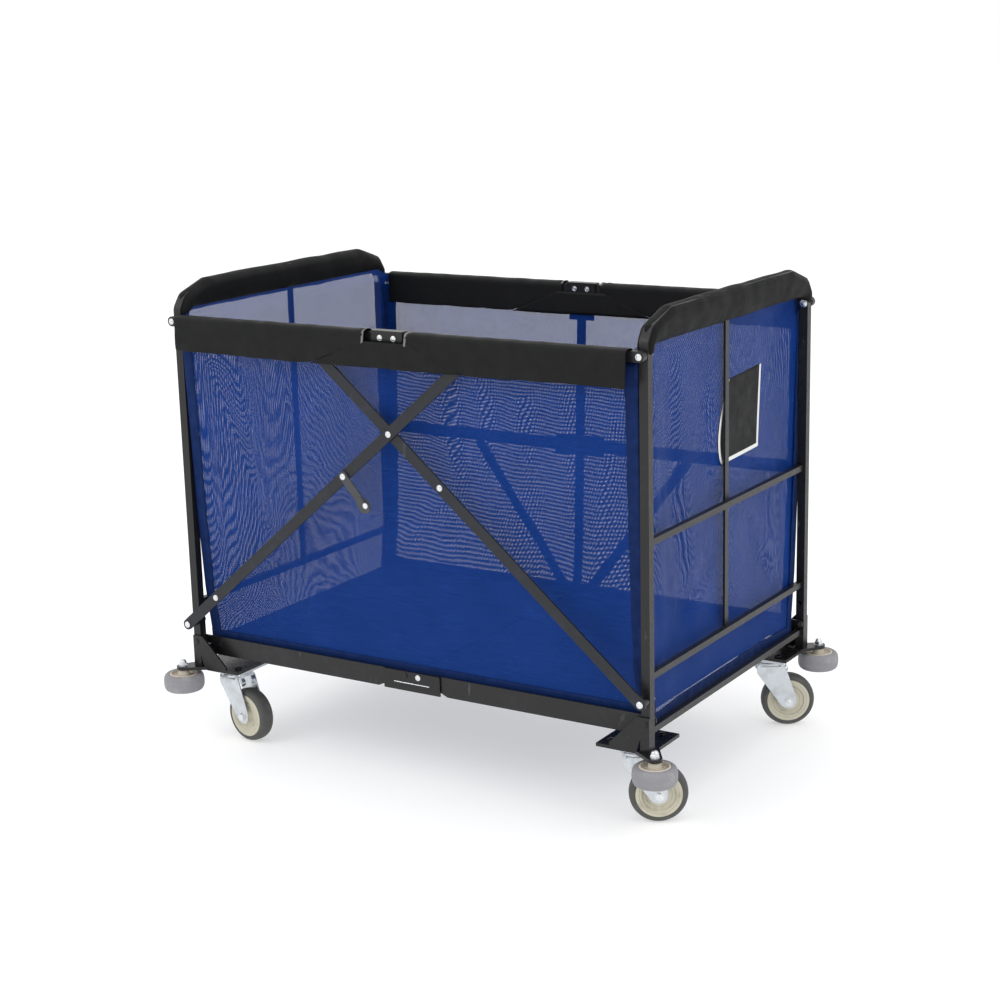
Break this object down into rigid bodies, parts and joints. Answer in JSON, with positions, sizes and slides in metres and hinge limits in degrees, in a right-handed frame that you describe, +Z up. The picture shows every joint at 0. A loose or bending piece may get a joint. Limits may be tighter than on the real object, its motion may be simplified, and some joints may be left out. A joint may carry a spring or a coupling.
{
  "type": "laundry cart",
  "caption": "Folding laundry cart: hinged steel frame with crossed side bars, hung mesh bag, swivel casters and corner bumper rollers.",
  "frame": {"origin": "on the ground, midway between the four posts", "axes": "+X along the long side, +Y across towards the side without crossed bars, +Z up"},
  "size_m": [1.087, 0.755, 0.887],
  "materials": {
    "frame_black": "semi-gloss powder coat",
    "plate_black": "satin powder coat",
    "zinc": "bright zinc plate",
    "bright_bolt": "bright plated",
    "sleeve_black": "coated nylon",
    "mesh_blue": "open mesh",
    "webbing_blue": "woven webbing",
    "floor_blue": "coated nylon",
    "hub_cream": "moulded nylon",
    "tyre_grey": "thermoplastic rubber",
    "roller_core": "moulded nylon",
    "roller_grey": "thermoplastic rubber",
    "patch_black": "coated cloth",
    "latch_grey": "satin"
  },
  "bodies": {
    "root": {"left_hoop": "frame_black", "left_strut": "frame_black", "left_rungs": "frame_black", "left_corner_plates": "plate_black", "left_caster_plates": "zinc", "left_hoop_sleeve": "sleeve_black", "left_wall": "mesh_blue", "left_floor_strip": "floor_blue", "left_fasteners": "bright_bolt", "front_wall": "mesh_blue", "back_wall": "mesh_blue", "back_harness": "webbing_blue"},
    "left_top": {"left_top_rails": "frame_black", "left_top_sleeves": "sleeve_black"},
    "top_hinge": {"top_hinges": "plate_black", "top_hinge_pins": "bright_bolt", "centre_sleeves": "sleeve_black"},
    "right_top": {"right_top_rails": "frame_black", "right_top_sleeves": "sleeve_black"},
    "right_end": {"right_hoop": "frame_black", "right_strut": "frame_black", "right_rungs": "frame_black", "right_corner_plates": "plate_black", "right_caster_plates": "zinc", "right_hoop_sleeve": "sleeve_black", "right_wall": "mesh_blue", "right_floor_strip": "floor_blue", "right_fasteners": "bright_bolt", "label_patch": "patch_black"},
    "left_bottom": {"left_bottom_rails": "frame_black", "left_floor_board": "floor_blue"},
    "bottom_hinge": {"bottom_hinges": "plate_black", "bottom_hinge_pins": "bright_bolt"},
    "right_bottom": {"right_bottom_rails": "frame_black", "right_floor_board": "floor_blue"},
    "bar_a": {"cross_bar_a": "frame_black", "bar_a_rivets": "bright_bolt"},
    "bar_b": {"cross_bar_b": "frame_black", "bar_b_rivet": "bright_bolt"},
    "latch": {"latch": "latch_grey"},
    "caster_front_left": {"fork_front_left": "zinc"},
    "wheel_front_left": {"hub_front_left": "hub_cream", "tyre_front_left": "tyre_grey"},
    "roller_front_left": {"bumper_core_front_left": "roller_core", "bumper_tyre_front_left": "roller_grey"},
    "caster_back_left": {"fork_back_left": "zinc"},
    "wheel_back_left": {"hub_back_left": "hub_cream", "tyre_back_left": "tyre_grey"},
    "roller_back_left": {"bumper_core_back_left": "roller_core", "bumper_tyre_back_left": "roller_grey"},
    "caster_front_right": {"fork_front_right": "zinc"},
    "wheel_front_right": {"hub_front_right": "hub_cream", "tyre_front_right": "tyre_grey"},
    "roller_front_right": {"bumper_core_front_right": "roller_core", "bumper_tyre_front_right": "roller_grey"},
    "caster_back_right": {"fork_back_right": "zinc"},
    "wheel_back_right": {"hub_back_right": "hub_cream", "tyre_back_right": "tyre_grey"},
    "roller_back_right": {"bumper_core_back_right": "roller_core", "bumper_tyre_back_right": "roller_grey"}
  },
  "joints": [
    {"name": "fold", "type": "hinge", "parent": "root", "child": "left_top", "pos_m": [-0.48, 0, 0.812], "axis": [0, -1, 0], "range_deg": [0, 74], "deforming": ["front_wall", "back_wall", "back_harness", "centre_sleeves"]},
    {"name": "top_middle_left", "type": "hinge", "parent": "left_top", "child": "top_hinge", "pos_m": [-0.014, 0, 0.812], "axis": [0, -1, 0], "range_deg": [-75, 0]},
    {"name": "top_middle_right", "type": "hinge", "parent": "top_hinge", "child": "right_top", "pos_m": [0.014, 0, 0.812], "axis": [0, -1, 0], "range_deg": [-75, 0]},
    {"name": "right_end_hinge", "type": "hinge", "parent": "right_top", "child": "right_end", "pos_m": [0.48, 0, 0.812], "axis": [0, -1, 0], "range_deg": [0, 75]},
    {"name": "bottom_left_fold", "type": "hinge", "parent": "root", "child": "left_bottom", "pos_m": [-0.48, 0, 0.198], "axis": [0, -1, 0], "range_deg": [0, 75]},
    {"name": "bottom_middle", "type": "hinge", "parent": "left_bottom", "child": "bottom_hinge", "pos_m": [-0.014, 0, 0.198], "axis": [0, -1, 0], "range_deg": [-75, 0]},
    {"name": "bottom_right_fold", "type": "hinge", "parent": "right_end", "child": "right_bottom", "pos_m": [0.48, 0, 0.198], "axis": [0, -1, 0], "range_deg": [-75, 0]},
    {"name": "bar_a_swing", "type": "hinge", "parent": "root", "child": "bar_a", "pos_m": [-0.48, 0, 0.238], "axis": [0, -1, 0], "range_deg": [0, 37]},
    {"name": "bar_b_swing", "type": "hinge", "parent": "right_end", "child": "bar_b", "pos_m": [0.48, 0, 0.238], "axis": [0, -1, 0], "range_deg": [-37, 0]},
    {"name": "latch_swing", "type": "hinge", "parent": "bar_a", "child": "latch", "pos_m": [-0.09766, 0, 0.56379], "axis": [0, -1, 0], "range_deg": [-40, 60]},
    {"name": "swivel_front_left", "type": "hinge", "parent": "root", "child": "caster_front_left", "pos_m": [-0.434, -0.268, 0.13], "axis": [0, 0, 1], "continuous": true},
    {"name": "spin_front_left", "type": "hinge", "parent": "caster_front_left", "child": "wheel_front_left", "pos_m": [-0.39855, -0.27425, 0.0508], "axis": [0.1736, 0.9848, 0], "continuous": true},
    {"name": "roller_front_left", "type": "hinge", "parent": "root", "child": "roller_front_left", "pos_m": [-0.505, -0.339, 0.12], "axis": [0, 0, 1], "continuous": true},
    {"name": "swivel_back_left", "type": "hinge", "parent": "root", "child": "caster_back_left", "pos_m": [-0.434, 0.268, 0.13], "axis": [0, 0, 1], "continuous": true},
    {"name": "spin_back_left", "type": "hinge", "parent": "caster_back_left", "child": "wheel_back_left", "pos_m": [-0.40017, 0.28031, 0.0508], "axis": [-0.342, 0.9397, 0], "continuous": true},
    {"name": "roller_back_left", "type": "hinge", "parent": "root", "child": "roller_back_left", "pos_m": [-0.505, 0.339, 0.12], "axis": [0, 0, 1], "continuous": true},
    {"name": "swivel_front_right", "type": "hinge", "parent": "right_end", "child": "caster_front_right", "pos_m": [0.434, -0.268, 0.13], "axis": [0, 0, 1], "continuous": true},
    {"name": "spin_front_right", "type": "hinge", "parent": "caster_front_right", "child": "wheel_front_right", "pos_m": [0.46453, -0.24892, 0.0508], "axis": [-0.5299, 0.848, 0], "continuous": true},
    {"name": "roller_front_right", "type": "hinge", "parent": "right_end", "child": "roller_front_right", "pos_m": [0.505, -0.339, 0.12], "axis": [0, 0, 1], "continuous": true},
    {"name": "swivel_back_right", "type": "hinge", "parent": "right_end", "child": "caster_back_right", "pos_m": [0.434, 0.268, 0.13], "axis": [0, 0, 1], "continuous": true},
    {"name": "spin_back_right", "type": "hinge", "parent": "caster_back_right", "child": "wheel_back_right", "pos_m": [0.46453, 0.28708, 0.0508], "axis": [-0.5299, 0.848, 0], "continuous": true},
    {"name": "roller_back_right", "type": "hinge", "parent": "right_end", "child": "roller_back_right", "pos_m": [0.505, 0.339, 0.12], "axis": [0, 0, 1], "continuous": true}
  ],
  "couplings": [
    {"joint": "top_middle_left", "follows": "fold", "ratio": -1},
    {"joint": "top_middle_right", "follows": "fold", "ratio": -1},
    {"joint": "right_end_hinge", "follows": "fold", "ratio": 1},
    {"joint": "bottom_left_fold", "follows": "fold", "ratio": 1},
    {"joint": "bottom_middle", "follows": "fold", "ratio": -1},
    {"joint": "bottom_right_fold", "follows": "fold", "ratio": -1},
    {"joint": "bar_a_swing", "follows": "fold", "ratio": 0.4934},
    {"joint": "bar_b_swing", "follows": "fold", "ratio": -0.4934}
  ]
}
